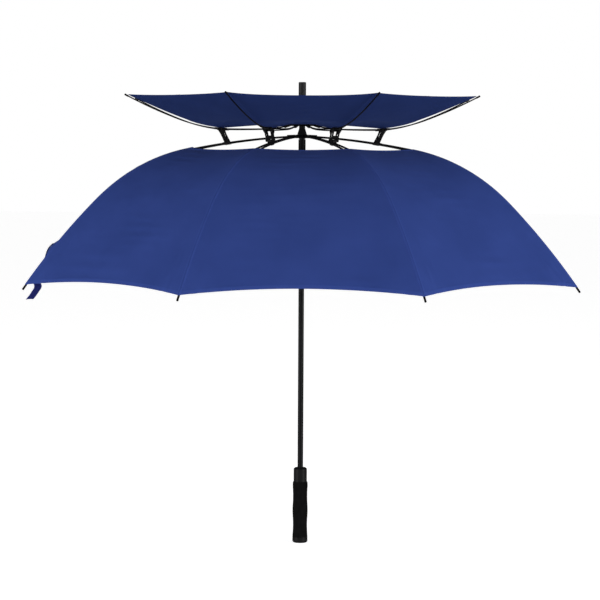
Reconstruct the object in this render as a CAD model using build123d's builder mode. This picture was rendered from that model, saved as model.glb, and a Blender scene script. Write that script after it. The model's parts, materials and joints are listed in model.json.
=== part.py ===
"""Golf umbrella with a vented double canopy, standing open on its handle.

Millimetres. Origin at the centre of the handle's lower end, +Z up the shaft, front towards -Y.
Rib planes stand at 22.5 degrees plus multiples of 45 degrees, so a panel faces the front.
"""

import os
from math import asin, atan2, cos, degrees, hypot, radians, sin, tan

from build123d import *

# Overall
RIBS = 8
FIRST_RIB = 22.5
HALF_PANEL = 180.0 / RIBS
RIB_TIP_R = 640.0
TOP_Z = 1028.0

# Central shaft
SHAFT_R = 6.2
SHAFT_WALL = 1.2
SHAFT_BOTTOM_Z = 12.0
SHAFT_TOP_Z = 1000.0
GLUE_GAP = 0.05

# Pins and bores
PIN_R = 0.9
LINK_PIN_R = 1.0
PIN_GAP = 0.08

# Main frame, in a rib plane: (radius, height)
CROWN_PIVOT = (11.0, 908.0)
ELBOW_PIVOT = (350.0, 838.0)
RIB_HINGE_R = 353.0
RIB_HINGE_DROP = 1.5
# Slopes of a main rib, in degrees falling outwards, at a list of radii
RIB_BOW = ((11.0, 2.5), (269.0, 11.5), (480.0, 44.5), (640.0, 54.0))
RIB_ROD_R = 2.1
RIB_END_ROD_R = 1.8
STRETCHER_R = 2.0
TIP_CAP_R = 2.3
TIP_CAP_LENGTH = 13.0

# Vent frame
LINK_FOOT_R = 180.0
LINK_FOOT_RISE = 5.5
LINK_REACH = 13.8
LINK_HEIGHT = 26.0
LINK_THICKNESS = 3.0
LINK_MOUTH = 11.0
LINK_CLIP = 8.4
VENT_FORK = 9.2
VENT_ROD_R = 1.4
VENT_TIP_R = 413.0
# A vent arm dips from the hub to this radius, then runs almost level to its link
VENT_ARM_BEND_R = 90.0
VENT_ARM_SLOPES = (1.5, -1.0)
VENT_BOW = ((0.0, -4.5), (94.0, -19.0), (218.5, -26.5))
VENT_CAP_LENGTH = 9.0

# Canopies
CLOTH = 0.5
CLOTH_RISE = 2.6
VENT_CLOTH_RISE = 3.4
VENT_CHORD_R = 262.0
VENT_CENTRE_Z = 937.9
OPENING_R = 262.0
HEM_ARCH = 14.0

# Runner
RUNNER_NOSE_R = 8.0
RUNNER_BORE_R = 6.5
RUNNER_NOSE_TOP_Z = 901.5
FLANGE_R = 12.8
SLOT_WIDTH = 2.6
TONGUE = 2.2
BUTTON_TRAVEL = 1.6

# Handle
GRIP_TOP_Z = 137.0
COLLAR_TOP_Z = 169.0
COLLAR_R = 14.85
CAP_TOP_Z = 13.0
CAP_R = 17.0
CORE_R = 9.0

# Tie strap
STRAP_THICKNESS = 0.8
STRAP_WIDTH = 20.0
STRAP_TOP_R = 580.0
STRAP_HANG = 42.0
STRAP_RIB = 4
STRAP_ALONG_HEM = 105.0


def slope_at(bow, radius):
    """Slope of a bow at a radius, in degrees falling outwards."""
    for (r0, s0), (r1, s1) in zip(bow, bow[1:]):
        if radius <= r1:
            share = (radius - r0) / (r1 - r0)
            return degrees(asin(sin(radians(s0)) * (1 - share) + sin(radians(s1)) * share))
    return bow[-1][1]


def drop_at(bow, radius):
    """How far a bow has fallen at a radius."""
    drop = 0.0
    for (r0, s0), (r1, _) in zip(bow, bow[1:]):
        if radius > r0:
            end = min(radius, r1)
            drop += (end - r0) * tan(radians(s0 + slope_at(bow, end)) / 2)
    return drop


def on_bow(bow, height, radius, rise=0.0):
    """Point on a bow that starts at a height, or beside it by a rise square to the bow."""
    slope = radians(slope_at(bow, radius))
    return (radius + rise * sin(slope), height - drop_at(bow, radius) + rise * cos(slope))


def along(start, slope, length, rise=0.0):
    """Point a length along a direction that falls by a slope, and a rise square to it."""
    angle = radians(slope)
    return (start[0] + length * cos(angle) + rise * sin(angle),
            start[1] - length * sin(angle) + rise * cos(angle))


def shifted(bow, distance):
    """The same bow, moved outwards."""
    return tuple((r + distance, s) for r, s in bow)


# Points that follow from the dimensions, in a rib plane
RIB_HINGE_SLOPE = slope_at(RIB_BOW, RIB_HINGE_R)
RIB_HINGE = on_bow(RIB_BOW, CROWN_PIVOT[1], RIB_HINGE_R, -RIB_HINGE_DROP)
LINK_FOOT = on_bow(RIB_BOW, CROWN_PIVOT[1], LINK_FOOT_R, LINK_FOOT_RISE)
LINK_HEAD = (LINK_FOOT[0] + LINK_REACH, LINK_FOOT[1] + LINK_HEIGHT)
VENT_PIVOT = (CROWN_PIVOT[0] + LINK_REACH, CROWN_PIVOT[1] + LINK_HEIGHT)
RUNNER_PIVOT = (CROWN_PIVOT[0], 2 * ELBOW_PIVOT[1] - CROWN_PIVOT[1])
ARM_LEVEL_DROP = (LINK_HEAD[0] - VENT_ARM_BEND_R) * tan(radians(sum(VENT_ARM_SLOPES) / 2))
ARM_ROOT_SLOPE = 2 * degrees(atan2(VENT_PIVOT[1] - LINK_HEAD[1] - ARM_LEVEL_DROP,
                                   VENT_ARM_BEND_R - VENT_PIVOT[0])) - VENT_ARM_SLOPES[0]
ARM_BOW = ((VENT_PIVOT[0], ARM_ROOT_SLOPE), (VENT_ARM_BEND_R, VENT_ARM_SLOPES[0]),
           (LINK_HEAD[0], VENT_ARM_SLOPES[1]))
VENT_RIB_BOW = shifted(VENT_BOW, LINK_HEAD[0])
STRETCHER_SLOPE = degrees(atan2(CROWN_PIVOT[1] - ELBOW_PIVOT[1], ELBOW_PIVOT[0] - CROWN_PIVOT[0]))
STRETCHER_LENGTH = hypot(ELBOW_PIVOT[0] - CROWN_PIVOT[0], CROWN_PIVOT[1] - ELBOW_PIVOT[1])


def rod(bow, height, radius_from, radius_to, rod_r, rise=0.0):
    """Add a round rod that follows a bow between two radii to the open part."""
    radii = [radius_from] + [r for r, _ in bow if radius_from < r < radius_to] + [radius_to]
    with BuildLine(Plane.XZ) as path:
        for a, b in zip(radii, radii[1:]):
            ends = [on_bow(bow, height, r, rise) for r in (a, (a + b) / 2, b)]
            ThreePointArc(*ends)
    with BuildSketch(Plane(path.line @ 0, z_dir=path.line % 0)) as section:
        Circle(rod_r)
    sweep(section.sketch, path=path.line)


def disc(centre, radius, width, mode=Mode.ADD):
    """Add or cut a round plate, square to the rib plane and centred on it."""
    with BuildSketch(Plane.XZ) as section:
        with Locations(centre):
            Circle(radius)
    extrude(section.sketch, amount=width / 2, both=True, mode=mode)


def bar(start, slope, from_length, to_length, low, high, width):
    """Add a square bar along a direction in the rib plane."""
    corners = [along(start, slope, from_length, low), along(start, slope, to_length, low),
               along(start, slope, to_length, high), along(start, slope, from_length, high)]
    with BuildSketch(Plane.XZ) as section:
        Polygon(*corners, align=None)
    extrude(section.sketch, amount=width / 2, both=True)


def sleeve(start, slope, from_length, to_length, radius, rise=0.0):
    """Add a round sleeve along a direction in the rib plane."""
    foot = along(start, slope, from_length, rise)
    head = along(start, slope, to_length, rise)
    direction = (head[0] - foot[0], 0, head[1] - foot[1])
    with BuildSketch(Plane((foot[0], 0, foot[1]), z_dir=direction)) as section:
        Circle(radius)
    extrude(section.sketch, amount=to_length - from_length)


def revolved(points):
    """Add a body of revolution about the shaft's axis from (radius, height) points."""
    with BuildSketch(Plane.XZ) as section:
        Polygon(*points, align=None)
    revolve(section.sketch, axis=Axis.Z)


def save(name, piece, azimuth=0.0):
    """Write a piece, turned about the shaft, as its own file."""
    with BuildPart() as node:
        add(piece.part, rotation=(0, 0, azimuth))
    node.part.label = name
    export_step(node.part, f"parts/{name}.step")


def slots_and_pins(pivot, floor, ceiling, reach, pin_r, pin_span, slot_width):
    """Cut a ring of slots in the open part and set a pin across each."""
    with PolarLocations(0, RIBS, start_angle=FIRST_RIB):
        with Locations((reach + 10, 0, (floor + ceiling) / 2)):
            Box(20, slot_width, ceiling - floor, mode=Mode.SUBTRACT)
    with PolarLocations(0, RIBS, start_angle=FIRST_RIB):
        with Locations(Location((pivot[0], 0, pivot[1]), (90, 0, 0))):
            Cylinder(pin_r, pin_span)


# ---- Shaft
with BuildPart() as shaft:
    with Locations((0, 0, (SHAFT_BOTTOM_Z + SHAFT_TOP_Z) / 2)):
        Cylinder(SHAFT_R, SHAFT_TOP_Z - SHAFT_BOTTOM_Z)
        Cylinder(SHAFT_R - SHAFT_WALL, SHAFT_TOP_Z - SHAFT_BOTTOM_Z, mode=Mode.SUBTRACT)

# ---- Handle: grip, end cap and collar with the core that the grip slides over
with BuildPart() as grip:
    with BuildSketch(Plane.XZ):
        with BuildLine():
            swell = Spline((CAP_R, CAP_TOP_Z + 0.1), (16.2, 25.5), (15.8, 36.0), (15.85, 47.0),
                           (16.6, 60.0), (16.85, 80.0), (16.2, 92.0), (15.95, 104.0), (16.4, 121.0),
                           (16.8, 129.0), (16.1, GRIP_TOP_Z - 0.1))
            Line(swell @ 1, (CORE_R + GLUE_GAP, GRIP_TOP_Z - 0.1))
            Line((CORE_R + GLUE_GAP, GRIP_TOP_Z - 0.1), (CORE_R + GLUE_GAP, CAP_TOP_Z + 0.1))
            Line((CORE_R + GLUE_GAP, CAP_TOP_Z + 0.1), swell @ 0)
        make_face()
    revolve(axis=Axis.Z)

with BuildPart() as end_cap:
    Cylinder(CAP_R, CAP_TOP_Z, align=(Align.CENTER, Align.CENTER, Align.MIN))
    fillet(end_cap.edges().group_by(Axis.Z)[0], 4.5)
    fillet(end_cap.edges().group_by(Axis.Z)[-1], 0.8)
    with Locations((0, 0, CAP_TOP_Z)):
        Cylinder(CORE_R - 0.1, 6.0, align=(Align.CENTER, Align.CENTER, Align.MIN))
    with Locations((0, 0, SHAFT_BOTTOM_Z - 1)):
        Cylinder(SHAFT_R + GLUE_GAP, 20.0, align=(Align.CENTER, Align.CENTER, Align.MIN),
                 mode=Mode.SUBTRACT)

with BuildPart() as collar:
    revolved([(SHAFT_R + GLUE_GAP, 20.0), (CORE_R, 20.0), (CORE_R, GRIP_TOP_Z),
              (COLLAR_R, GRIP_TOP_Z), (COLLAR_R, COLLAR_TOP_Z - 3), (COLLAR_R - 3, COLLAR_TOP_Z),
              (SHAFT_R + GLUE_GAP, COLLAR_TOP_Z)])
    rims = collar.edges().filter_by(GeomType.CIRCLE)
    fillet(rims.filter_by(lambda e: e.center().Z > COLLAR_TOP_Z - 4 and e.radius > 9), 1.4)

# ---- Crown, which carries the main ribs, with the post above it
bore = SHAFT_R + GLUE_GAP
with BuildPart() as crown:
    revolved([(bore, 903.0), (7.8, 903.0), (7.8, 905.3), (FLANGE_R, 905.3), (FLANGE_R, 912.0),
              (10.75, 912.0), (6.8, 925.3), (6.8, 930.9), (bore, 930.9)])
    slots_and_pins(CROWN_PIVOT, 905.0, 910.9, 8.2, PIN_R, 5.6, SLOT_WIDTH)

# ---- Vent hub, which carries the vent arms
with BuildPart() as vent_hub:
    revolved([(bore, 931.0), (27.5, 931.0), (27.5, 936.2), (12.0, 936.6), (10.0, 937.6), (bore, 937.6)])
    slots_and_pins(VENT_PIVOT, 930.5, 937.0, 20.4, PIN_R, 6.4, SLOT_WIDTH)

# ---- Ferrule, which clamps the vent canopy's centre down on the hub
with BuildPart() as ferrule:
    revolved([(bore, 939.0), (12.0, 939.0), (12.0, 941.0), (8.9, 943.5), (8.25, 950.0),
              (8.25, TOP_Z - 1.2), (7.05, TOP_Z), (0, TOP_Z), (0, SHAFT_TOP_Z + 2), (bore, SHAFT_TOP_Z + 2)])

# ---- Runner, which carries the stretchers and slides on the shaft
runner_z = RUNNER_PIVOT[1]
with BuildPart() as runner:
    revolved([(RUNNER_BORE_R, runner_z - 38), (13.0, runner_z - 38), (13.0, runner_z - 35.5),
              (12.0, runner_z - 34), (12.0, runner_z - 14), (10.5, runner_z - 11.5), (10.5, runner_z - 6),
              (FLANGE_R, runner_z - 4), (FLANGE_R, runner_z + 3.2), (RUNNER_NOSE_R, runner_z + 3.2),
              (RUNNER_NOSE_R, RUNNER_NOSE_TOP_Z), (RUNNER_BORE_R, RUNNER_NOSE_TOP_Z)])
    slots_and_pins(RUNNER_PIVOT, runner_z - 2.7, runner_z + 4.0, 8.2, PIN_R, 5.6, SLOT_WIDTH)
    # Pocket of the latch button, wider inside than at its mouth
    with Locations((0, -9.35, runner_z - 24)):
        Box(7.0, 2.7, 12.0, mode=Mode.SUBTRACT)
    with Locations((0, -11.5, runner_z - 24)):
        Box(5.4, 3.0, 10.0, mode=Mode.SUBTRACT)

with BuildPart() as button:
    with Locations((0, -10.2, runner_z - 24)):
        Box(6.4, 0.8, 11.4)
    with Locations((0, -12.1, runner_z - 24)):
        Box(4.9, 3.2, 9.4)
    fillet(button.edges().group_by(Axis.Y)[0], 0.8)

# ---- Inner length of a main rib: crown tongue, root fitting, rod, link clip and elbow bracket
with BuildPart() as rib_inner:
    disc(CROWN_PIVOT, 2.2, TONGUE)
    bar(CROWN_PIVOT, 2.5, 0.0, 8.0, -2.0, 2.2, TONGUE)
    bar(CROWN_PIVOT, 2.5, 5.0, 24.0, -2.8, 4.0, 5.4)
    rod(RIB_BOW, CROWN_PIVOT[1], 26.0, RIB_HINGE_R - 6.0, RIB_ROD_R)
    foot_slope = slope_at(RIB_BOW, LINK_FOOT_R)
    bar(LINK_FOOT, foot_slope, -7.0, 7.0, -LINK_FOOT_RISE - 2.8, -LINK_FOOT_RISE + 2.6, 6.0)
    bar(LINK_FOOT, foot_slope, -2.8, 2.8, -LINK_FOOT_RISE, 0.0, LINK_CLIP)
    disc(LINK_FOOT, 2.8, LINK_CLIP)
    # The bracket's block holds the rod; its two cheeks carry the rib hinge and the elbow pin
    bar(RIB_HINGE, RIB_HINGE_SLOPE, -18.0, -4.5, -2.2, RIB_HINGE_DROP + 1.1, 6.2)
    with BuildSketch(Plane.XZ):
        with Locations(RIB_HINGE):
            Circle(2.9)
        with Locations(ELBOW_PIVOT):
            Circle(2.9)
        with Locations(along(RIB_HINGE, RIB_HINGE_SLOPE, -12.0, -1.0)):
            Circle(1.2)
        make_hull()
    extrude(amount=3.1, both=True)
    # Gap between the cheeks
    with BuildSketch(Plane.XZ):
        gap = ((-4.0, 6.0), (10.0, 6.0), (10.0, -24.0), (-24.0, -24.0), (-24.0, -3.2), (-4.0, -3.2))
        Polygon(*[along(RIB_HINGE, RIB_HINGE_SLOPE, a, b) for a, b in gap], align=None)
    extrude(amount=1.5, both=True, mode=Mode.SUBTRACT)
    disc(CROWN_PIVOT, PIN_R + PIN_GAP, 8.0, Mode.SUBTRACT)
    disc(LINK_FOOT, LINK_PIN_R + PIN_GAP, LINK_CLIP + 2.0, Mode.SUBTRACT)
    disc(RIB_HINGE, PIN_R, 6.2)
    disc(ELBOW_PIVOT, PIN_R, 6.2)

# ---- Outer length of a main rib: hinge tongue, sleeve, rod and tip cap
with BuildPart() as rib_outer:
    disc(RIB_HINGE, 2.6, 2.6)
    bar(RIB_HINGE, RIB_HINGE_SLOPE, 0.0, 8.0, -0.8, 2.6, 2.6)
    sleeve(RIB_HINGE, RIB_HINGE_SLOPE, 5.0, 17.0, 2.3, RIB_HINGE_DROP - 0.2)
    rod(RIB_BOW, CROWN_PIVOT[1], RIB_HINGE_R + 10.0, RIB_TIP_R - 3.0, RIB_END_ROD_R)
    cap_r = RIB_TIP_R - TIP_CAP_LENGTH * cos(radians(53.5))
    cap = on_bow(RIB_BOW, CROWN_PIVOT[1], cap_r)
    cap_end = on_bow(RIB_BOW, CROWN_PIVOT[1], RIB_TIP_R)
    cap_slope = degrees(atan2(cap[1] - cap_end[1], cap_end[0] - cap[0]))
    sleeve(cap, cap_slope, 0.0, hypot(cap_end[0] - cap[0], cap_end[1] - cap[1]), TIP_CAP_R)
    disc(RIB_HINGE, PIN_R + PIN_GAP, 4.0, Mode.SUBTRACT)

# ---- Stretcher: elbow tongue, sleeve, rod, end fitting and runner tongue
with BuildPart() as stretcher:
    slope = 180.0 - STRETCHER_SLOPE
    disc(ELBOW_PIVOT, 2.8, 2.6)
    bar(ELBOW_PIVOT, slope, 0.0, 10.0, -2.2, 2.2, 2.6)
    sleeve(ELBOW_PIVOT, slope, 8.0, 22.0, 2.6)
    sleeve(ELBOW_PIVOT, slope, 20.0, STRETCHER_LENGTH - 20.0, STRETCHER_R)
    bar(ELBOW_PIVOT, slope, STRETCHER_LENGTH - 24.0, STRETCHER_LENGTH - 5.0, -2.5, 2.5, 5.4)
    bar(ELBOW_PIVOT, slope, STRETCHER_LENGTH - 8.0, STRETCHER_LENGTH, -2.0, 2.0, TONGUE)
    disc(RUNNER_PIVOT, 2.2, TONGUE)
    disc(ELBOW_PIVOT, PIN_R + PIN_GAP, 4.0, Mode.SUBTRACT)
    disc(RUNNER_PIVOT, PIN_R + PIN_GAP, 4.0, Mode.SUBTRACT)

# ---- Link between a main rib and a vent rib: an H-shaped plate with its two pins
link_length = hypot(LINK_REACH, LINK_HEIGHT)
link_slope = -degrees(atan2(LINK_HEIGHT, LINK_REACH))
link_plane = Plane((LINK_FOOT[0], 0, LINK_FOOT[1]), x_dir=(0, 1, 0),
                   z_dir=(sin(radians(-link_slope)), 0, -cos(radians(-link_slope))))
with BuildPart() as link:
    with BuildSketch(link_plane):
        with BuildLine():
            Polyline((9.6, -2.6), (9.6, 2.5), (8.3, 8.0), (8.3, 18.0), (11.0, link_length - 4.0),
                     (11.0, link_length + 2.6), (-11.0, link_length + 2.6), (-11.0, link_length - 4.0),
                     (-8.3, 18.0), (-8.3, 8.0), (-9.6, 2.5), (-9.6, -2.6), close=True)
        make_face()
        with Locations((0, 1.6)):
            Rectangle(10.0, 12.2, mode=Mode.SUBTRACT)
        with Locations((0, link_length - 7.4)):
            Rectangle(LINK_MOUTH, 20.8, mode=Mode.SUBTRACT)
    extrude(amount=LINK_THICKNESS / 2, both=True)
    disc(LINK_FOOT, LINK_PIN_R, 16.0)
    disc(LINK_HEAD, LINK_PIN_R, 16.0)

# ---- Vent arm from the hub to the link's head
with BuildPart() as vent_arm:
    disc(VENT_PIVOT, 2.2, TONGUE)
    bar(VENT_PIVOT, ARM_BOW[0][1], 0.0, 7.0, -2.0, 2.0, TONGUE)
    bar(VENT_PIVOT, ARM_BOW[0][1], 4.6, 18.0, -2.3, 2.3, 5.0)
    rod(ARM_BOW, VENT_PIVOT[1], VENT_PIVOT[0] + 16.0, LINK_HEAD[0] - 8.0, VENT_ROD_R)
    sleeve(LINK_HEAD, ARM_BOW[-1][1] + 180.0, 6.0, 16.0, 2.3)
    bar(LINK_HEAD, ARM_BOW[-1][1] + 180.0, 0.0, 8.0, -2.0, 2.0, 2.6)
    disc(LINK_HEAD, 2.7, 2.6)
    disc(VENT_PIVOT, PIN_R + PIN_GAP, 4.0, Mode.SUBTRACT)
    disc(LINK_HEAD, LINK_PIN_R + PIN_GAP, 4.0, Mode.SUBTRACT)

# ---- Vent rib from the link's head to the vent canopy's edge
with BuildPart() as vent_rib:
    disc(LINK_HEAD, 2.7, VENT_FORK)
    bar(LINK_HEAD, VENT_BOW[0][1], 0.0, 8.0, -2.3, 2.3, VENT_FORK)
    with BuildSketch(Plane.XZ):
        with Locations(LINK_HEAD):
            Circle(4.2)
    extrude(amount=1.6, both=True, mode=Mode.SUBTRACT)
    sleeve(LINK_HEAD, VENT_BOW[0][1], 7.0, 12.0, 2.3)
    rod(VENT_RIB_BOW, LINK_HEAD[1], LINK_HEAD[0] + 8.0, VENT_TIP_R - 3.0, VENT_ROD_R)
    vent_cap = on_bow(VENT_RIB_BOW, LINK_HEAD[1], VENT_TIP_R - VENT_CAP_LENGTH * 0.9)
    vent_end = on_bow(VENT_RIB_BOW, LINK_HEAD[1], VENT_TIP_R)
    vent_cap_slope = degrees(atan2(vent_cap[1] - vent_end[1], vent_end[0] - vent_cap[0]))
    vent_cap_length = hypot(vent_end[0] - vent_cap[0], vent_end[1] - vent_cap[1])
    sleeve(vent_cap, vent_cap_slope, 0.0, vent_cap_length, 2.0)
    disc(LINK_HEAD, LINK_PIN_R + PIN_GAP, VENT_FORK + 2.0, Mode.SUBTRACT)

# ---- Canopies: flat panels between rib planes, creased over the ribs
panel_squeeze = cos(radians(HALF_PANEL))


def canopy(under, over, hem=None):
    """Eight panels from rib-plane profiles of the cloth's two faces, with an arched hem."""
    outline = [(r * panel_squeeze, z) for r, z in under + over[::-1]]
    with BuildPart() as panel:
        with BuildSketch(Plane.XZ) as section:
            Polygon(*outline, align=None)
        extrude(section.sketch, amount=300.0, both=True)
        if hem:
            edge_r, edge_z = hem
            half = edge_r * sin(radians(HALF_PANEL))
            with BuildSketch(Plane.YZ.offset(400.0)) as below_hem:
                with BuildLine():
                    ThreePointArc((-half, edge_z), (0, edge_z + HEM_ARCH), (half, edge_z))
                    Polyline((half, edge_z), (half + 60, edge_z), (half + 60, edge_z - 80),
                             (-half - 60, edge_z - 80), (-half - 60, edge_z), (-half, edge_z))
                make_face()
            extrude(below_hem.sketch, amount=300.0, mode=Mode.SUBTRACT)
        with BuildSketch(Plane.XY.offset(450.0)) as wedge:
            spread = 700 * tan(radians(HALF_PANEL))
            Polygon((0, 0), (700, spread), (700, -spread), align=None)
        extrude(wedge.sketch, amount=600.0, mode=Mode.INTERSECT)
    with BuildPart() as whole:
        for i in range(RIBS):
            add(panel.part, rotation=(0, 0, FIRST_RIB + HALF_PANEL + 360.0 / RIBS * i))
    return whole


def main_profile(rise):
    """Rib-plane line of the main canopy at a rise above the ribs."""
    radii = [OPENING_R + (RIB_TIP_R - 4.0 - OPENING_R) * i / 14 for i in range(15)]
    return [on_bow(RIB_BOW, CROWN_PIVOT[1], r, rise) for r in radii]


def vent_profile(rise):
    """Rib-plane line of the vent canopy: straight to the links, over the rods, then taut to the tips."""
    centre_z = VENT_CENTRE_Z + rise - VENT_CLOTH_RISE
    radii = [LINK_HEAD[0] + (VENT_CHORD_R - LINK_HEAD[0]) * i / 4 for i in range(5)] + [VENT_TIP_R - 8.0]
    over_rods = [on_bow(VENT_RIB_BOW, LINK_HEAD[1], r, rise) for r in radii]
    return [(9.2, centre_z), (VENT_PIVOT[0] - 4.0, centre_z + 0.5)] + over_rods


hem_z = CROWN_PIVOT[1] - drop_at(RIB_BOW, cap_r)
main_canopy = canopy(main_profile(CLOTH_RISE), main_profile(CLOTH_RISE + CLOTH),
                     hem=(cap_r + 1.1, hem_z + 3.0))
vent_canopy = canopy(vent_profile(VENT_CLOTH_RISE), vent_profile(VENT_CLOTH_RISE + CLOTH))

# ---- Tie strap, sewn on beside the left-hand rib, which lies down the next panel and hangs below the hem
with BuildPart() as strap:
    radii = [STRAP_TOP_R + (cap_r - 4.0 - STRAP_TOP_R) * i / 4 for i in range(5)]
    lie = [on_bow(RIB_BOW, CROWN_PIVOT[1], r, CLOTH_RISE + CLOTH + 0.6) for r in radii]
    lie = [(r * panel_squeeze, z) for r, z in lie]
    edge_r, edge_z = lie[-1]
    hang = [(edge_r + 7.0, edge_z - 14.0), (edge_r + 11.0, edge_z - 30.0),
            (edge_r + 12.0, edge_z - STRAP_HANG)]
    route = lie + hang
    back = [(r + STRAP_THICKNESS * 0.8, z + STRAP_THICKNESS * 0.6) for r, z in route]
    with BuildSketch(Plane.XZ) as section:
        with BuildLine():
            near = Spline(*route)
            far = Spline(*back)
            Line(near @ 0, far @ 0)
            Line(near @ 1, far @ 1)
        make_face()
    extrude(section.sketch, amount=STRAP_WIDTH / 2, both=True)

os.makedirs("parts", exist_ok=True)
for name, piece in (("shaft", shaft), ("handle_grip", grip), ("handle_end_cap", end_cap),
                    ("handle_collar", collar), ("crown", crown), ("vent_hub", vent_hub),
                    ("ferrule", ferrule), ("runner", runner), ("latch_button", button),
                    ("main_canopy", main_canopy), ("vent_canopy", vent_canopy)):
    save(name, piece)
for i in range(RIBS):
    azimuth = FIRST_RIB + 360.0 / RIBS * i
    for name, piece in (("rib_inner", rib_inner), ("rib_outer", rib_outer), ("stretcher", stretcher),
                        ("vent_link", link), ("vent_arm", vent_arm), ("vent_rib", vent_rib)):
        save(f"{name}_{i + 1}", piece, azimuth)
# The strap's own plane is a panel's middle, so it is shifted along the hem towards the rib
with BuildPart() as placed_strap:
    with Locations((0, STRAP_ALONG_HEM, 0)):
        add(strap.part)
save("tie_strap", placed_strap, FIRST_RIB + 360.0 / RIBS * STRAP_RIB - HALF_PANEL)
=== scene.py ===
"""Looks of the vented golf umbrella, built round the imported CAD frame.

Metres, in the CAD's frame, with the front towards -Y."""

import json
from math import cos, hypot, pi, radians, sin, tan

import bpy
import numpy as np
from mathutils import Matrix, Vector


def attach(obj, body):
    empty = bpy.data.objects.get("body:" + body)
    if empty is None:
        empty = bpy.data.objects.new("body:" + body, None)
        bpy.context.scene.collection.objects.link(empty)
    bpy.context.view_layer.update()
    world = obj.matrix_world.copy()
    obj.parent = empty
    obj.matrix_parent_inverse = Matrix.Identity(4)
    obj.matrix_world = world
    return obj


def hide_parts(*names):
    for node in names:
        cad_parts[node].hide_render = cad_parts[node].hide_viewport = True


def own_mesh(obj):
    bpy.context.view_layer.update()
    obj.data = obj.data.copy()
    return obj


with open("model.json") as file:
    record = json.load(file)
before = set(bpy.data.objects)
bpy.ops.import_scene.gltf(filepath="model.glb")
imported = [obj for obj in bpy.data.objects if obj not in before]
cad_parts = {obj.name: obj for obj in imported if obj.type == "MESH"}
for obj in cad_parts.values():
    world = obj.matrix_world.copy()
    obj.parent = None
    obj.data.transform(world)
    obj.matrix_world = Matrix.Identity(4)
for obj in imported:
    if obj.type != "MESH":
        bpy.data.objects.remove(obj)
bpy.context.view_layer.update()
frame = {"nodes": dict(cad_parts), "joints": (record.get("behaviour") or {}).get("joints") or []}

joints = {j["name"]: j for j in frame["joints"]}

# ---------------------------------------------------------------- dimensions
RIBS = 8
FIRST_RIB = 22.5
HALF_PANEL = radians(180.0 / RIBS)

# Slopes of the ribs, in degrees falling outwards, at a list of radii, as in the CAD
RIB_BOW = ((0.011, 2.5), (0.269, 11.5), (0.480, 44.5), (0.640, 54.0))
VENT_BOW_LENGTHS = ((0.0, -4.5), (0.094, -19.0), (0.2185, -26.5))

CLOTH_RISE = 0.00285
VENT_RISE = 0.00365
VENT_TIP_RISE = 0.0034
OPENING_R = 0.262
HEM_R = 0.6334
HEM_ARCH = 0.0115
MAIN_SAG = 0.007
VENT_CENTRE_R = 0.0092
VENT_CENTRE_Z = 0.93815
VENT_FLAT_R = 0.0208
VENT_FLAT_RISE = 0.0005
VENT_HUB_R = 0.027
VENT_CHORD_R = 0.262
VENT_HEM_R = 0.4065
VENT_HEM_ARCH = 0.004
VENT_VALLEY_LIFT = 0.011
VENT_RIM_SAG = 0.0008
FRONT_RIM_SAG = 0.0036
HEM_WIDTH = 0.0085
HEM_THICKNESS = 0.0006
SEAM_WIDTH = 0.0036
SEAM_START = 0.0005
SEWN_HEIGHT = 0.0003
SEWN_SOFTNESS = 0.0008
# Depth and reach of the crease in the cloth along a rib
MAIN_CREASE = 0.0004
VENT_CREASE = 0.0002
CREASE_REACH = 0.003
CREASE_TURN = 0.02
VENT_NECK_R = 0.080
# Overlaps of neighbouring patches of the vent canopy, hidden on its upper side:
# they narrow the slits that open as it turns
MIDDLE_OVERLAP = 0.0070
MIDDLE_OVERLAP_SHARE_AT_HEAD = 0.45
RING_OVERLAP_AT_RIB = 0.0045
RING_OVERLAP = 0.0060
OVERLAP_LIFT = 0.0003
# Length of cloth for each unit of radius near the hem, and the share of its drop that adds to places along it
MAIN_HEM_STRETCH = 1.55
VENT_HEM_STRETCH = 1.08
DROP_SHARE = 0.35


def pivot(joint):
    """Radius and height of a joint's pivot."""
    x, y, z = joints[joint]["pos_m"]
    return hypot(x, y), z


_, CROWN_Z = pivot("rib_1_fold")
HINGE_R, _ = pivot("rib_1_flex")
HEAD_R, HEAD_Z = pivot("vent_rib_1_flip")
VENT_BOW = tuple((HEAD_R + r, s) for r, s in VENT_BOW_LENGTHS)


# ---------------------------------------------------------------- shapes of the ribs and the cloth over them
def bow_line(bow, r):
    """Drop and slope (radians, falling outwards) of a bow at radii r."""
    radii = np.array([b[0] for b in bow])
    sines = np.sin(np.radians([b[1] for b in bow]))
    cosines = np.sqrt(1 - sines ** 2)
    bend = np.diff(sines) / np.diff(radii)
    knots = np.concatenate([[0.0], np.cumsum((cosines[:-1] - cosines[1:]) / bend)])
    slope = np.arcsin(np.interp(r, radii, sines))
    k = np.clip(np.searchsorted(radii, r) - 1, 0, len(bend) - 1)
    return knots[k] + (cosines[k] - np.cos(slope)) / bend[k], slope


def over_bow(bow, height, r, rise):
    """Radius and height of the line that lies a rise above a bow."""
    drop, slope = bow_line(bow, r)
    return r + rise * np.sin(slope), height - drop + rise * np.cos(slope)


def main_profile(r):
    """Radius and height of the main canopy over a rib."""
    return over_bow(RIB_BOW, CROWN_Z, r, CLOTH_RISE)


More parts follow.
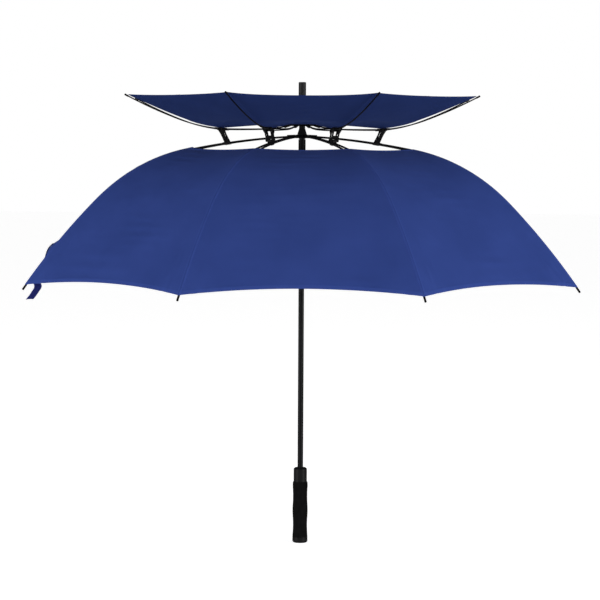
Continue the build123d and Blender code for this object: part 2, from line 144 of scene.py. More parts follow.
def vent_profile(r):
    """Radius and height of the vent canopy over a rib: straight to the link, over the rod, taut to the tip."""
    rod = over_bow(VENT_BOW, HEAD_Z, np.clip(r, HEAD_R, VENT_CHORD_R), VENT_RISE)
    ends = ((HEAD_R, VENT_RISE), (VENT_CHORD_R, VENT_RISE), (VENT_HEM_R, VENT_TIP_RISE))
    head, foot, tip = (over_bow(VENT_BOW, HEAD_Z, np.array([at]), rise) for at, rise in ends)
    radii = (VENT_CENTRE_R, VENT_FLAT_R, head[0][0])
    heights = (VENT_CENTRE_Z, VENT_CENTRE_Z + VENT_FLAT_RISE, head[1][0])
    inner = [np.interp(r, (VENT_CENTRE_R, VENT_FLAT_R, HEAD_R), line) for line in (radii, heights)]
    share = np.clip((r - VENT_CHORD_R) / (VENT_HEM_R - VENT_CHORD_R), 0, 1.1)
    outer = [foot[i] + (tip[i] - foot[i]) * share for i in (0, 1)]
    pick = np.where(r < HEAD_R, 0, np.where(r < VENT_CHORD_R, 1, 2))
    return tuple(np.choose(pick, [inner[i], rod[i], outer[i]]) for i in (0, 1))


def bell(x, centre, width):
    """Smooth bump of height 1."""
    return np.exp(-((x - centre) / width) ** 2)


def ripples(panel, seed, u, along, patches):
    """Soft tension wrinkles of one panel: a few patches of short waves that run across it."""
    rng = np.random.default_rng(1000 * seed + panel)
    out = np.zeros_like(u)
    for centre, spread, wave, height in patches:
        for _ in range(3):
            cu = rng.uniform(-0.55, 0.55)
            ca = centre + rng.uniform(-spread, spread)
            tilt = rng.uniform(-0.02, 0.02)
            phase = (along + tilt * u - ca) / wave
            out += (height * rng.uniform(0.4, 1.0) * bell(u, cu, rng.uniform(0.22, 0.4))
                    * bell(along, ca, wave * rng.uniform(0.9, 1.6)) * np.cos(2 * pi * phase))
    return out * (1 - u ** 2)


def step_up(x, width):
    """Smooth step from 0 to 1 as x goes from 0 to width."""
    t = np.clip(x / width, 0, 1)
    return t * t * (3 - 2 * t)


def sewn(seam, edge, crease):
    """Height that sewing adds: a doubled band beside each seam and along the hem, less a crease at the rib.

    A negative crease is a ridge."""
    inside, outside = step_up(SEAM_WIDTH - seam, SEWN_SOFTNESS), step_up(seam - SEAM_START, SEWN_SOFTNESS)
    felled = SEWN_HEIGHT * inside * outside
    doubled = SEWN_HEIGHT * step_up(HEM_WIDTH - edge, SEWN_SOFTNESS)
    return np.maximum(felled, doubled) - crease * np.exp(-seam / CREASE_REACH)


# Patches of wrinkles: their place along a panel, how widely they scatter, their wave length and their height
MAIN_PATCHES = ((0.34, 0.04, 0.026, 0.00030), (0.46, 0.05, 0.030, 0.00042), (0.58, 0.06, 0.026, 0.00040),
                (0.70, 0.04, 0.032, 0.00045))
VENT_PATCHES = ((0.30, 0.05, 0.026, 0.00022),)
# The left-hand panel is fuller than the others, with a bump at the sewn top of the tie strap. The bump has a
# place along the rib and one across the panel, each with how far it spreads
FULL_PANEL = 3
FULLNESS = 0.0125
STRAP_BUMP = 0.009
STRAP_BUMP_R, STRAP_BUMP_LENGTH = 0.580, 0.015
STRAP_BUMP_U, STRAP_BUMP_SPREAD = 0.48, 0.25
# The vent's rim sags most at the front
FRONT_PANEL = 5
# Short folds that run towards each rib's tip
FOLD_HEIGHT = 0.0006
FOLD_PHASE_ACROSS, FOLD_PHASE_ALONG = 60, 55


def cloth_measures(canopy, r, u):
    """Distances along and across a panel, and from its nearest seam and its nearest edge."""
    if canopy == "main":
        x, _ = main_profile(r)
        drop, _ = bow_line(RIB_BOW, r)
        along = r + DROP_SHARE * drop
        edge = np.minimum(r - OPENING_R, (hem_line(canopy)(u) - r) * MAIN_HEM_STRETCH)
    else:
        x, _ = vent_profile(r)
        along = r
        edge = (hem_line(canopy)(u) - r) * VENT_HEM_STRETCH
    half = x * sin(HALF_PANEL)
    return u * half, along, (1 - np.abs(u)) * half, edge


def panel_point(canopy, panel, r, u):
    """Points of a panel: r is the place along the ribs, u goes from -1 at one rib to 1 at the next."""
    across, along, seam, edge = cloth_measures(canopy, r, u)
    if canopy == "main":
        profile = main_profile
        sag = MAIN_SAG - (FULLNESS if panel == FULL_PANEL else 0.0)
        depth = sag * bell(r, 0.45, 0.22) * (1 - u ** 2)
        if panel == FULL_PANEL:
            bump_along = bell(r, STRAP_BUMP_R, STRAP_BUMP_LENGTH)
            depth = depth - STRAP_BUMP * bump_along * bell(u, STRAP_BUMP_U, STRAP_BUMP_SPREAD)
        fan = bell(r, HEM_R - 0.02, 0.06) * bell(np.abs(u), 0.84, 0.08)
        folds = FOLD_HEIGHT * fan * np.cos((1 - np.abs(u)) * FOLD_PHASE_ACROSS - r * FOLD_PHASE_ALONG + panel)
        lift = ripples(panel, 1, u, along, MAIN_PATCHES) + folds
        lift = lift + sewn(seam, edge, MAIN_CREASE)
        z_lift = 0.0
    else:
        profile = vent_profile
        depth = 0.002 * bell(r, 0.33, 0.08) * (1 - u ** 2)
        rim_sag = FRONT_RIM_SAG if panel == FRONT_PANEL else VENT_RIM_SAG
        z_lift = (VENT_VALLEY_LIFT * bell(r, HEAD_R, 0.055) * (1 - u ** 2)
                  - rim_sag * step_up(r - 0.28, 0.12) * (1 - u ** 4))
        # a crease where the cloth falls outwards and a ridge where it rises, so that its two sides close
        crease = VENT_CREASE * np.clip((HEAD_R - r) / CREASE_TURN, -1, 1)
        lift = ripples(panel, 2, u, r, VENT_PATCHES) + sewn(seam, edge, crease)
    x, z = profile(r)
    below, above = profile(r - 1e-4), profile(r + 1e-4)
    run, fall = (above[0] - below[0]) * cos(HALF_PANEL), above[1] - below[1]
    length = np.hypot(run, fall)
    out = x * cos(HALF_PANEL) - (lift - depth) * fall / length
    up = z + z_lift + (lift - depth) * run / length
    middle = radians(FIRST_RIB) + HALF_PANEL + 2 * HALF_PANEL * panel
    x, y = out * cos(middle) - across * sin(middle), out * sin(middle) + across * cos(middle)
    return np.stack([x, y, up], -1)


def hem_line(canopy):
    """Radius of a canopy's outer edge across a panel."""
    if canopy == "main":
        return lambda u: HEM_R - HEM_ARCH * (1 - u ** 2)
    return lambda u: VENT_HEM_R - VENT_HEM_ARCH * (1 - u ** 2)


def ring(radius):
    """A constant radius, as a function of the place across a panel."""
    return lambda u: np.full_like(u, radius)


def hinge_line(radius):
    """Line across a panel that lies over the axes about which the ribs beside it turn, at a joint on them."""
    return lambda u: radius / (cos(HALF_PANEL) ** 2 + sin(HALF_PANEL) ** 2 * np.abs(u))


def tucked(line):
    """A line across a panel, a little further out: the overlap that one patch has over the next."""
    return lambda u: line(u) + RING_OVERLAP_AT_RIB + RING_OVERLAP * (1 - u ** 2)


def surface(canopy, panel, r, u):
    """Points of a panel and the cloth's outward normals there."""
    at = panel_point(canopy, panel, r, u)
    step = 1e-5
    towards_middle = np.where(u > 0, -step, step)
    along = panel_point(canopy, panel, r + step, u) - panel_point(canopy, panel, r - step, u)
    across = (panel_point(canopy, panel, r, u + towards_middle) - at) * np.sign(towards_middle)[..., None]
    normals = np.cross(along, across)
    return at, normals / np.linalg.norm(normals, axis=-1, keepdims=True)


def spaced(fine, widening, count):
    """Distances from an edge up to a length: a few fine ones, given, then a count of steps that widen."""
    even = np.linspace(0, 1, count + 1)[1:]
    return lambda length: np.concatenate([fine, fine[-1] + (length - fine[-1]) * even ** widening])


# Rows of points close together across a seam, a turned hem and the hem of the opening
SEAM_STEPS = spaced(np.array([0.0, 0.0006, 0.0014, 0.0026, 0.0032, 0.0040, 0.0060]), widening=1.15, count=22)
HEM_STEPS = np.array([0.0, 0.0003, 0.0008, 0.0048, 0.0056, 0.0066, 0.0090])
TOP_HEM_STEPS = np.array([0.0, 0.0006, 0.0080, 0.0088, 0.0100])
# The hem turns round its edge and runs back under the cloth. For each row of its fold: how far it runs beyond
# the edge, how far it lies under it in thicknesses of the hem, and whether it faces outwards (0) or down (-1)
HEM_FOLD = ((0.00015, 0.5, 0.0), (0.0, 1.0, -1.0), (-0.0046, 1.0, -1.0))
# Slack that keeps points on a border from counting as past it
SLACK = 1e-7


def cloth_object(name, points, faces, measures, material):
    """A smooth mesh object, with the four measures that the cloth's material reads."""
    mesh = bpy.data.meshes.new(name)
    mesh.from_pydata(points.reshape(-1, 3).tolist(), [], faces)
    mesh.polygons.foreach_set("use_smooth", [True] * len(mesh.polygons))
    for key, values in zip(("across", "along", "seam", "edge"), measures):
        mesh.attributes.new(key, "FLOAT", "POINT").data.foreach_set("value", values.ravel())
    mesh.materials.append(material)
    piece = bpy.data.objects.new(name, mesh)
    bpy.context.scene.collection.objects.link(piece)
    return piece


def sheet_piece(name, canopy, panel, side, r_in, r_out, rows, material, hem_fold, top_hem, overlap, over):
    """Half a panel, from a rib to the panel's middle, as a smooth grid.

    It can run on past the middle by an overlap, and past the line called over. It is raised there, above its
    neighbour."""
    hem_steps = HEM_STEPS if hem_fold else np.zeros(1)
    top_steps = TOP_HEM_STEPS if top_hem else np.zeros(1)
    middle_rows = np.linspace(0, 1, rows + 1)[1:-1]
    fixed = np.concatenate([top_steps, np.full(len(middle_rows), top_steps[-1]),
                            top_steps[-1] + hem_steps[-1] - hem_steps[::-1]])[:, None]
    share = np.concatenate([np.zeros(len(top_steps)), middle_rows, np.ones(len(hem_steps))])[:, None]

    def radii(u):
        """Places of the rows along the ribs: close together at both borders, and even between them."""
        low, high = r_in(u), r_out(u)
        return low + fixed + share * (high - low - top_steps[-1] - hem_steps[-1])

    at_rib = np.array([1.0])
    half = cloth_measures(canopy, radii(at_rib), at_rib)[0][:, 0]
    distances = np.stack([SEAM_STEPS(h) for h in half])
    if overlap:
        widening = MIDDLE_OVERLAP_SHARE_AT_HEAD + (1 - MIDDLE_OVERLAP_SHARE_AT_HEAD) * share
        beyond = half[:, None] + overlap * widening * np.array([[0.5, 1.0]])
        distances = np.concatenate([distances, beyond], axis=1)
    if side > 0:
        distances = distances[:, ::-1]
    u = side * (1 - distances / half[:, None])
    r = radii(u)
    at, normals = surface(canopy, panel, r, u)
    past = (distances > half[:, None] + SLACK) | (r > over(u) + SLACK)
    at = at + normals * (OVERLAP_LIFT * past)[..., None]
    measures = cloth_measures(canopy, r, u)
    if hem_fold:
        edge_r, edge_at, edge_normal = r[-1], at[-1], normals[-1]
        outward = edge_at - panel_point(canopy, panel, edge_r - 1e-4, u[-1])
        outward /= np.linalg.norm(outward, axis=-1, keepdims=True)
        for run, under, facing in HEM_FOLD:
            if run < 0:
                base, base_normal = surface(canopy, panel, edge_r + run, u[-1])
            else:
                base, base_normal = edge_at + outward * run, edge_normal
            at = np.concatenate([at, (base - base_normal * HEM_THICKNESS * under)[None]])
            turned = outward if facing == 0.0 else base_normal * facing
            normals = np.concatenate([normals, turned[None]])
        measures = [np.concatenate([values] + [values[-1:]] * len(HEM_FOLD)) for values in measures]
    index = np.arange(at[..., 0].size).reshape(at.shape[:2])
    quads = np.stack([index[:-1, :-1], index[1:, :-1], index[1:, 1:], index[:-1, 1:]], -1).reshape(-1, 4)
    piece = cloth_object(name, at, quads.tolist(), measures, material)
    piece.data.normals_split_custom_set_from_vertices(normals.reshape(-1, 3).tolist())
    return piece


# ---------------------------------------------------------------- materials
def new_material(name):
    """An empty node material: its nodes, its links and its Principled shader."""
    material = bpy.data.materials.new(name)
    material.use_nodes = True
    nodes = material.node_tree.nodes
    return material, nodes, material.node_tree.links, nodes["Principled BSDF"]


def math(nodes, links, operation, a, b=None, clamp=False):
    """A math node on two inputs, each a number or a socket."""
    node = nodes.new("ShaderNodeMath")
    node.operation = operation
    node.use_clamp = clamp
    for socket, value in zip(node.inputs, (a, b)):
        if isinstance(value, bpy.types.NodeSocket):
            links.new(value, socket)
        elif value is not None:
            socket.default_value = value
    return node.outputs[0]


def noise(nodes, links, vector, scale, detail=2.0, rough=0.5):
    """A noise texture's value at a vector."""
    node = nodes.new("ShaderNodeTexNoise")
    node.inputs["Scale"].default_value = scale
    node.inputs["Detail"].default_value = detail
    node.inputs["Roughness"].default_value = rough
    links.new(vector, node.inputs["Vector"])
    return node.outputs[0]


def attribute(nodes, name):
    """A mesh attribute's value."""
    node = nodes.new("ShaderNodeAttribute")
    node.attribute_name = name
    return node.outputs["Fac"]


def ramp(nodes, links, value, stops):
    """A colour ramp over a value; stops are (place, colour)."""
    node = nodes.new("ShaderNodeValToRGB")
    links.new(value, node.inputs[0])
    elements = node.color_ramp.elements
    while len(elements) < len(stops):
        elements.new(1.0)
    for element, (place, colour) in zip(elements, stops):
        element.position = place
        element.color = (*colour, 1.0) if hasattr(colour, "__len__") else (colour, colour, colour, 1.0)
    return node.outputs[0]


def band(nodes, links, value, centre, half_width, softness):
    """1 within half_width of centre, falling to 0 over softness."""
    away = math(nodes, links, "ABSOLUTE", math(nodes, links, "SUBTRACT", value, centre))
    inside = math(nodes, links, "SUBTRACT", half_width + softness, away)
    return math(nodes, links, "DIVIDE", inside, softness, clamp=True)


def mix_colour(nodes, links, factor, a, b):
    """Mix of two colours, each a tuple or a socket."""
    node = nodes.new("ShaderNodeMix")
    node.data_type = "RGBA"
    links.new(factor, node.inputs["Factor"])
    for socket, value in ((node.inputs[6], a), (node.inputs[7], b)):
        if isinstance(value, bpy.types.NodeSocket):
            links.new(value, socket)
        else:
            socket.default_value = (*value, 1.0)
    return node.outputs[2]


def bump(nodes, links, height, distance, strength, shader):
    """Bump the shader by a height."""
    node = nodes.new("ShaderNodeBump")
    node.inputs["Distance"].default_value = distance
    node.inputs["Strength"].default_value = strength
    links.new(height, node.inputs["Height"])
    links.new(node.outputs[0], shader.inputs["Normal"])


THREAD_PITCH = 0.0006
STITCH_PITCH = 0.0034
# The part of a sine wave above this is one dash of thread, and the rest is the gap after it
STITCH_SHARE = -0.35
SEAM_STITCHES = 0.0028
HEM_STITCHES = HEM_WIDTH - 0.0018


def cloth_material(name, dark, light, thread_and_highlight):
    """Fine plain-weave pongee with sewn seams over the ribs and a stitched hem."""
    material, nodes, links, shader = new_material(name)
    across, along = attribute(nodes, "across"), attribute(nodes, "along")
    seam, edge = attribute(nodes, "seam"), attribute(nodes, "edge")
    combine = nodes.new("ShaderNodeCombineXYZ")
    links.new(across, combine.inputs[0])
    links.new(along, combine.inputs[1])
    place = combine.outputs[0]
    # Threads: two crossed waves, broken up by noise
    warp = math(nodes, links, "SINE", math(nodes, links, "MULTIPLY", across, 2 * pi / THREAD_PITCH))
    weft = math(nodes, links, "SINE", math(nodes, links, "MULTIPLY", along, 2 * pi / THREAD_PITCH))
    weave = math(nodes, links, "MULTIPLY", warp, weft)
    slub = noise(nodes, links, place, 900.0, 3.0, 0.6)
    cloudy = noise(nodes, links, place, 9.0, 3.0, 0.55)
    tone = math(nodes, links, "ADD", math(nodes, links, "MULTIPLY", slub, 0.35),
                math(nodes, links, "MULTIPLY", cloudy, 0.65))
    colour = ramp(nodes, links, tone, ((0.35, dark), (0.65, light)))
    # Seam: a felled band on each side of the crease, with a row of stitches. Hem: a doubled band with its row
    crease = band(nodes, links, seam, 0.0, 0.0006, 0.0010)
    felled = band(nodes, links, seam, 0.0, 0.0040, 0.0008)
    hem = band(nodes, links, edge, 0.0, HEM_WIDTH, 0.0008)
    dash_along = math(nodes, links, "SINE", math(nodes, links, "MULTIPLY", along, 2 * pi / STITCH_PITCH))
    dash_across = math(nodes, links, "SINE", math(nodes, links, "MULTIPLY", across, 2 * pi / STITCH_PITCH))
    seam_row = math(nodes, links, "MULTIPLY", band(nodes, links, seam, SEAM_STITCHES, 0.0003, 0.0004),
                    math(nodes, links, "GREATER_THAN", dash_along, STITCH_SHARE))
    hem_row = math(nodes, links, "MULTIPLY", band(nodes, links, edge, HEM_STITCHES, 0.0003, 0.0004),
                   math(nodes, links, "GREATER_THAN", dash_across, STITCH_SHARE))
    rows = math(nodes, links, "MAXIMUM", seam_row, hem_row)
    double = math(nodes, links, "MAXIMUM", felled, hem)
    # Painted shade: a darker copy of the cloth's colour, mixed in along the crease over each rib
    painted_crease_shade = tuple(c * 0.72 for c in dark)
    # Painted highlight: the doubled bands of the seams and the hem are lightened towards the thread's lighter
    # colour, as if they catch the light; the rows of stitches take the thread's colour
    colour = mix_colour(nodes, links, math(nodes, links, "MULTIPLY", double, 0.30), colour, thread_and_highlight)
    colour = mix_colour(nodes, links, math(nodes, links, "MULTIPLY", crease, 0.25), colour, painted_crease_shade)
    colour = mix_colour(nodes, links, math(nodes, links, "MULTIPLY", rows, 0.6), colour, thread_and_highlight)
    links.new(colour, shader.inputs["Base Color"])
    rough = math(nodes, links, "ADD", math(nodes, links, "MULTIPLY", slub, 0.16), 0.48)
    links.new(rough, shader.inputs["Roughness"])
    shader.inputs["Specular IOR Level"].default_value = 0.0
    shader.inputs["Sheen Weight"].default_value = 0.025
    shader.inputs["Sheen Roughness"].default_value = 0.45
    shader.inputs["Sheen Tint"].default_value = (0.35, 0.48, 1.0, 1.0)
    # Height: threads, soft crinkle of the coated cloth, the doubled bands and the stitches
    crinkle = noise(nodes, links, place, 55.0, 3.0, 0.5)
    height = math(nodes, links, "MULTIPLY", weave, 0.05)
    height = math(nodes, links, "ADD", height, math(nodes, links, "MULTIPLY", slub, 0.10))
    height = math(nodes, links, "ADD", height, math(nodes, links, "MULTIPLY", crinkle, 0.9))
    height = math(nodes, links, "ADD", height, math(nodes, links, "MULTIPLY", double, 0.45))
    height = math(nodes, links, "SUBTRACT", height, math(nodes, links, "MULTIPLY", rows, 0.35))
    height = math(nodes, links, "SUBTRACT", height, math(nodes, links, "MULTIPLY", crease, 0.5))
    bump(nodes, links, height, 0.0006, 0.7, shader)
    return material


# How far a hard material's roughness varies, and how much finer its grain is than its patches
ROUGH_RANGE = 0.18
GRAINS_PER_PATCH = 22.0


def hard_material(name, dark, light, rough, scale, height, coat, stretch=(1.0, 1.0, 1.0)):
    """Moulded plastic, rod, tube or rubber: a mottled grey with its own grain and roughness."""
    material, nodes, links, shader = new_material(name)
    coordinates = nodes.new("ShaderNodeTexCoord")
    mapping = nodes.new("ShaderNodeMapping")
    mapping.inputs["Scale"].default_value = stretch
    links.new(coordinates.outputs["Object"], mapping.inputs["Vector"])
    place = mapping.outputs[0]
    grain = noise(nodes, links, place, scale, 4.0, 0.6)
    patch = noise(nodes, links, place, scale / GRAINS_PER_PATCH, 3.0, 0.5)
    tone = math(nodes, links, "ADD", math(nodes, links, "MULTIPLY", grain, 0.5),
                math(nodes, links, "MULTIPLY", patch, 0.5))
    links.new(ramp(nodes, links, tone, ((0.35, dark), (0.65, light))), shader.inputs["Base Color"])
    varied = math(nodes, links, "MULTIPLY", patch, ROUGH_RANGE)
    uneven = math(nodes, links, "ADD", varied, rough - ROUGH_RANGE / 2)
    links.new(uneven, shader.inputs["Roughness"])
    shader.inputs["Specular IOR Level"].default_value = 0.0
    shader.inputs["Coat Weight"].default_value = coat
    shader.inputs["Coat Roughness"].default_value = rough
    bump(nodes, links, grain, height, 0.5, shader)
    return material


# The third colour of each cloth is its thread's, and it also paints the highlight on the doubled bands
main_cloth = cloth_material("main_cloth", dark=(0.0131, 0.0248, 0.103), light=(0.0166, 0.0305, 0.124),
                            thread_and_highlight=(0.021, 0.038, 0.158))
# Painted shade: the vent's cloth is the main cloth made darker, standing in for the shade on the vent's
# underside, which is the side that faces the front
vent_cloth = cloth_material("vent_cloth", dark=(0.0047, 0.0104, 0.0470), light=(0.0062, 0.0130, 0.0562),
                            thread_and_highlight=(0.008, 0.015, 0.070))
strap_cloth = cloth_material("strap_cloth", dark=(0.0080, 0.0100, 0.060), light=(0.0105, 0.0130, 0.075),
                             thread_and_highlight=(0.018, 0.022, 0.11))
grip_foam = hard_material("grip_foam", (0.0014, 0.0014, 0.0015), (0.0034, 0.0034, 0.0036),
                          rough=0.75, scale=1500.0, height=0.0004, coat=0.02)
handle_plastic = hard_material("handle_plastic", (0.0020, 0.0020, 0.0021), (0.0038, 0.0038, 0.0040),
                               rough=0.40, scale=900.0, height=0.0001, coat=0.08)
frame_plastic = hard_material("frame_plastic", (0.0016, 0.0016, 0.0018), (0.0034, 0.0034, 0.0036),
                              rough=0.5, scale=700.0, height=0.0001, coat=0.05)
rod_glass = hard_material("rod_glass", (0.0016, 0.0016, 0.0018), (0.0032, 0.0032, 0.0035),
                          rough=0.36, scale=600.0, height=0.0001, coat=0.06)
shaft_paint = hard_material("shaft_paint", (0.0016, 0.0016, 0.0018), (0.0030, 0.0030, 0.0033),
                            rough=0.34, scale=500.0, height=0.00006, coat=0.07, stretch=(1.0, 1.0, 0.12))
ferrule_plastic = hard_material("ferrule_plastic", (0.0095, 0.0095, 0.0100), (0.0140, 0.0140, 0.0148),
                                rough=0.42, scale=800.0, height=0.0001, coat=0.12)

MATERIAL_OF = {"shaft": shaft_paint, "handle_grip": grip_foam, "handle_end_cap": handle_plastic,
               "handle_collar": handle_plastic, "crown": frame_plastic, "vent_hub": frame_plastic,
               "ferrule": ferrule_plastic, "runner": frame_plastic, "latch_button": handle_plastic}
for node, piece in frame["nodes"].items():
    kind = node.rsplit("_", 1)[0]
    material = MATERIAL_OF.get(node, frame_plastic if kind == "vent_link" else rod_glass)
    for piece_slot in piece.material_slots:
        piece_slot.material = material

# ---------------------------------------------------------------- canopies
# Each panel is cut into patches that follow the rib beside them, so the cloth folds with the ribs. At rest the
# patches share their edges, with one smooth surface across all of them.
EIGHTH = 2 * HALF_PANEL


def fold_axis(panel, side):
    """The rib beside a patch, its angle round the shaft, and the level direction from it into the panel."""
    rib = panel if side < 0 else panel + 1
    angle = radians(FIRST_RIB) + EIGHTH * rib
    tangent = Vector((-sin(angle), cos(angle), 0))
    return rib % RIBS, angle, tangent * (1 if side < 0 else -1)


def add_patch(canopy, panel, side, part, r_in, r_out, rows, body, hem_fold=False, top_hem=False,
              overlap=0.0, over=ring(1.0)):
    """One patch of a canopy between a rib and the panel's middle, riding on the rib's body."""
    rib, angle, tangent = fold_axis(panel, side)
    material = main_cloth if canopy == "main" else vent_cloth
    name = f"{canopy}_canopy_{part}_{panel + 1}{'a' if side < 0 else 'b'}"
    piece = sheet_piece(name, canopy, panel, side, r_in, r_out, rows, material, hem_fold, top_hem, overlap,
                        over)
    profile = main_profile if canopy == "main" else vent_profile
    across = np.array([0.0, 1.0])
    inner, outer = float(np.min(r_in(across))), float(np.max(r_out(across)))
    x, z = profile(np.array([inner, (inner + outer) / 2, outer]))
    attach(piece, f"{body}_{rib + 1}")
    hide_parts(f"{canopy}_canopy")
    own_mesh(piece)


elbow, head = hinge_line(HINGE_R), hinge_line(HEAD_R)
for panel in range(RIBS):
    for side in (-1, 1):
        add_patch("main", panel, side, "upper", ring(OPENING_R), elbow, rows=44, body="rib_inner",
                  top_hem=True)
        add_patch("main", panel, side, "lower", elbow, hem_line("main"), rows=60, body="rib_outer",
                  hem_fold=True)
        add_patch("vent", panel, side, "neck", ring(VENT_HUB_R), ring(VENT_NECK_R), rows=12, body="vent_arm")
        add_patch("vent", panel, side, "inner", ring(VENT_NECK_R), tucked(head), rows=30, body="vent_arm",
                  over=head)
        add_patch("vent", panel, side, "outer", head, hem_line("vent"), rows=40, body="vent_rib",
                  hem_fold=True, overlap=MIDDLE_OVERLAP)

DISC_RADII = np.array([VENT_CENTRE_R, 0.0120, 0.0160, VENT_FLAT_R, 0.0240, VENT_HUB_R])
DISC_STEPS_PER_PANEL = 8


def disc_piece():
    """The middle of the vent canopy, clamped between the hub and the ferrule."""
    points, measures = [], []
    for panel in range(RIBS):
        for u in np.linspace(-1, 1, DISC_STEPS_PER_PANEL + 1)[:-1]:
            across = np.full_like(DISC_RADII, u)
            points.append(panel_point("vent", panel, DISC_RADII, across))
            measures.append(np.stack(cloth_measures("vent", DISC_RADII, across), -1))
    points, measures = np.array(points), np.array(measures)
    turns, steps = points.shape[:2]
    faces = [[a * steps + k, a * steps + k + 1, (a + 1) % turns * steps + k + 1, (a + 1) % turns * steps + k]
             for a in range(turns) for k in range(steps - 1)]
    piece = cloth_object("vent_canopy_middle", points, faces, np.moveaxis(measures, -1, 0), vent_cloth)
    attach(piece, "shaft_and_handle")
    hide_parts("vent_canopy")


disc_piece()

# ---------------------------------------------------------------- tie strap
STRAP_STEPS = 64
STRAP_WIDTH = 0.020
STRAP_THICKNESS = 0.0009
# The stretch that lies on the panel: its points, its ends along the rib, its place and its height over it
STRAP_LIE = 12
STRAP_TOP_R = 0.574
STRAP_LIE_END_R = HEM_R - 0.0095
STRAP_Y = -0.105
STRAP_RISE = 0.0009
STRAP_LOOP = 0.0012
# The stretch that hangs, as steps outwards and up from the end of the other: it bends in, then out to its end
STRAP_HANG = ((-0.0022, -0.0130), (-0.0066, -0.0270), (-0.0005, -0.0380), (0.0052, -0.0465),
              (0.0118, -0.0545))
STRAP_TWIST = radians(46)
STRAP_CUP = 0.0009
# Added to the distance from the strap's edge, so that the hem's row of stitches runs just inside that edge
STRAP_STITCH_SHIFT = 0.0058
NO_SEAM = 1.0


def strap_route():
    """The strap's line down the left-hand panel and below its hem, as (x, z)."""
    lie_r = np.linspace(STRAP_TOP_R, STRAP_LIE_END_R, STRAP_LIE)
    x, _ = main_profile(lie_r)
    at, normals = surface("main", FULL_PANEL, lie_r, -STRAP_Y / (x * sin(HALF_PANEL)))
    # near its top it is doubled round a patch of hook-and-loop tape, and stands a little higher off the cloth
    rise = STRAP_RISE + STRAP_LOOP * bell(lie_r, STRAP_TOP_R + 0.014, 0.012)
    lie = [(p[0] + n[0] * lift, p[2] + n[2] * lift) for p, n, lift in zip(at, normals, rise)]
    return lie + [(lie[-1][0] - out, lie[-1][1] + up) for out, up in STRAP_HANG]


def smooth_line(points, count):
    """Points at even steps along a smooth curve through a few given ones, and their distances along it."""
    given = np.array(points)
    lengths = np.concatenate([[0], np.cumsum(np.linalg.norm(np.diff(given, axis=0), axis=1))])
    tangents = np.gradient(given, lengths, axis=0)
    at = np.linspace(0, lengths[-1], count)
    k = np.clip(np.searchsorted(lengths, at) - 1, 0, len(given) - 2)
    span = (lengths[k + 1] - lengths[k])[:, None]
    t = (at[:, None] - lengths[k][:, None]) / span
    return ((2 * t ** 3 - 3 * t ** 2 + 1) * given[k] + (t ** 3 - 2 * t ** 2 + t) * span * tangents[k]
            + (-2 * t ** 3 + 3 * t ** 2) * given[k + 1] + (t ** 3 - t ** 2) * span * tangents[k + 1]), at


def strap_piece():
    """The tie strap: sewn to the panel at its top, lying down it, then hanging below the hem with a twist."""
    route = strap_route()
    line, length = smooth_line(route, STRAP_STEPS)
    lie_length = float(np.sum(np.linalg.norm(np.diff(np.array(route[:STRAP_LIE]), axis=0), axis=1)))
    hang = step_up(length - lie_length + 0.010, 0.022)
    width = np.linspace(-1, 1, 9)
    turn = STRAP_TWIST * hang
    rows = []
    for k in range(STRAP_STEPS):
        ahead = line[min(k + 1, len(line) - 1)] - line[max(k - 1, 0)]
        ahead /= np.linalg.norm(ahead)
        side = np.array([sin(turn[k]), cos(turn[k]), 0.0])
        outward = np.array([ahead[1], 0.0, -ahead[0]])
        cup = STRAP_CUP * hang[k] * (1 - width ** 2)
        centre = np.array([line[k][0], STRAP_Y, line[k][1]])
        rows.append([centre + side * STRAP_WIDTH / 2 * w + outward * c for w, c in zip(width, cup)])
    points = np.array(rows)
    count = len(width)
    faces = [[k * count + a, (k + 1) * count + a, (k + 1) * count + a + 1, k * count + a + 1]
             for k in range(STRAP_STEPS - 1) for a in range(count - 1)]
    signed = np.tile(width * STRAP_WIDTH / 2, (STRAP_STEPS, 1))
    run = length[:, None] * np.ones_like(signed)
    from_side = STRAP_WIDTH / 2 - np.abs(signed)
    from_end = np.minimum(run, length[-1] - run)
    edge = np.minimum(from_side, from_end) + STRAP_STITCH_SHIFT
    measures = (signed, run, np.full_like(run, NO_SEAM), edge)
    piece = cloth_object("tie_strap_webbing", points, faces, measures, strap_cloth)
    thicken = piece.modifiers.new("thickness", "SOLIDIFY")
    thicken.thickness = STRAP_THICKNESS
    thicken.offset = 1.0
    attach(piece, "rib_outer_5")
    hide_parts("tie_strap")
    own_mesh(piece)


strap_piece()

# ---------------------------------------------------------------- camera, light and ground
DISTANCE = 5.12
EYE_X = -0.0044
EYE_Z = 0.864
PITCH = 3.573
ROLL = -0.31
FOCAL_MM = 138.1
SENSOR_MM = 36.0

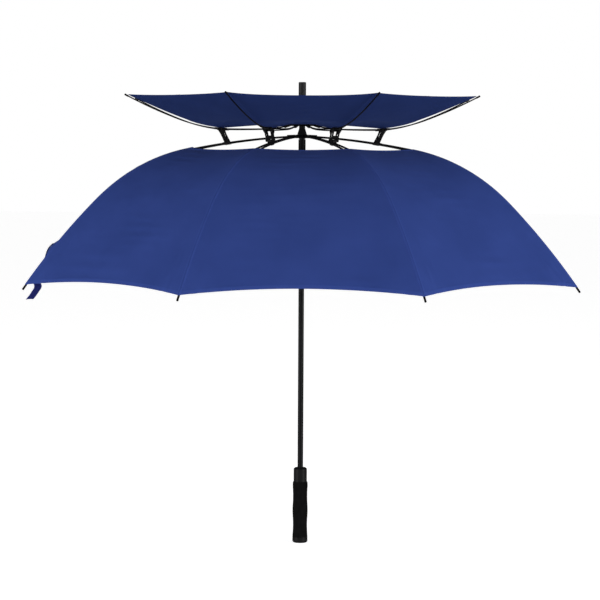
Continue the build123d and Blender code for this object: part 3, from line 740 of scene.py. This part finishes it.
camera_data = bpy.data.cameras.new("camera")
camera_data.lens = FOCAL_MM
camera_data.sensor_width = SENSOR_MM
camera = bpy.data.objects.new("camera", camera_data)
camera.location = (EYE_X, -DISTANCE, EYE_Z)
camera.rotation_euler = (radians(90 - PITCH), radians(ROLL), 0)
bpy.context.scene.collection.objects.link(camera)
bpy.context.scene.camera = camera


LIGHT_TARGET = Vector((0, 0, 0.75))


def area_light(name, place, size, power):
    """A soft square lamp aimed at the umbrella."""
    data = bpy.data.lights.new(name, "AREA")
    data.size = size
    data.energy = power
    lamp = bpy.data.objects.new(name, data)
    lamp.location = place
    lamp.rotation_euler = (LIGHT_TARGET - Vector(place)).to_track_quat("-Z", "Y").to_euler()
    bpy.context.scene.collection.objects.link(lamp)


area_light("key", (4.35, -2.75, 0.80), size=1.8, power=420)
area_light("fill", (-4.35, -2.75, 0.80), size=1.8, power=360)
area_light("front", (0.3, -5.6, 0.85), size=1.6, power=30)

world = bpy.data.worlds.new("studio")
world.use_nodes = True
sky_nodes, sky_links = world.node_tree.nodes, world.node_tree.links
sky_place = sky_nodes.new("ShaderNodeTexCoord")
sky_parts = sky_nodes.new("ShaderNodeSeparateXYZ")
sky_links.new(sky_place.outputs["Generated"], sky_parts.inputs[0])
# White up to a little above the horizon, and darker overhead
sky_colour = ramp(sky_nodes, sky_links, sky_parts.outputs[2], ((0.16, 1.0), (0.40, 0.28)))
sky_links.new(sky_colour, sky_nodes["Background"].inputs[0])
bpy.context.scene.world = world
bpy.context.scene.view_settings.view_transform = "Standard"

FLOOR_HALF = 30
floor_corners = [(x * FLOOR_HALF, y * FLOOR_HALF, 0) for x, y in ((-1, -1), (1, -1), (1, 1), (-1, 1))]
floor_mesh = bpy.data.meshes.new("floor")
floor_mesh.from_pydata(floor_corners, [], [(0, 1, 2, 3)])
floor_material, _, _, floor_shader = new_material("pale_floor")
floor_shader.inputs["Base Color"].default_value = (0.5, 0.5, 0.5, 1)
floor_shader.inputs["Roughness"].default_value = 0.9
floor_shader.inputs["Emission Color"].default_value = (1, 1, 1, 1)
floor_shader.inputs["Emission Strength"].default_value = 0.78
floor_mesh.materials.append(floor_material)
floor = bpy.data.objects.new("floor", floor_mesh)
bpy.context.scene.collection.objects.link(floor)
